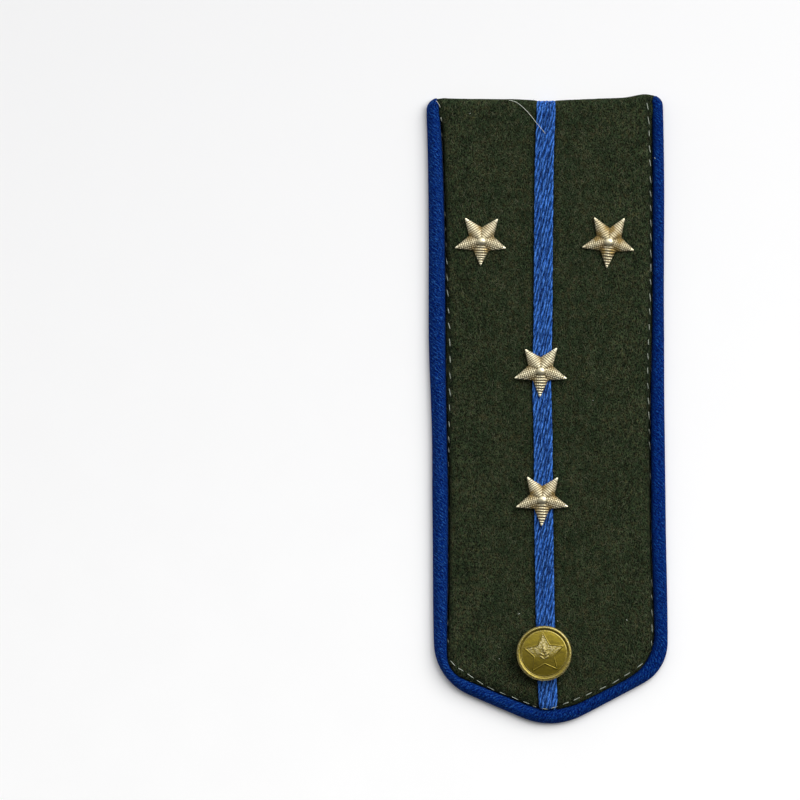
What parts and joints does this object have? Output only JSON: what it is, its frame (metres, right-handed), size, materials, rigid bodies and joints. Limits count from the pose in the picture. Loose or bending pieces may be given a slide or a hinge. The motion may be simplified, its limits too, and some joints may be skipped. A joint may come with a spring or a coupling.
{
  "type": "shoulder board",
  "caption": "Stiff felt-covered shoulder board with a pointed end, corded piping, a woven centre stripe, small gilt stars and a shank button.",
  "frame": {"origin": "middle of the board's flat back, on the plane that it rests on", "axes": "+X across the board, to the right seen with the folded end at the top, +Y along it from the pointed end to the folded end, +Z out of its face"},
  "size_m": [0.06, 0.1599, 0.0074],
  "materials": {
    "felt": "matt dark olive wool felt with a short nap",
    "piping_cloth": "deep blue twill cloth, slightly soft",
    "stripe_braid": "bright blue braid of long slanted yarns with a silky shine",
    "star_gilt": "pale worn gilding, brown in the valleys, polished boss",
    "button_gilt": "satin greenish gilding, darker in the grooves"
  },
  "bodies": {
    "root": {"panel": "felt", "piping": "piping_cloth", "stripe": "stripe_braid", "star_1": "star_gilt", "star_2": "star_gilt", "star_3": "star_gilt", "star_4": "star_gilt", "button": "button_gilt"}
  },
  "joints": []
}
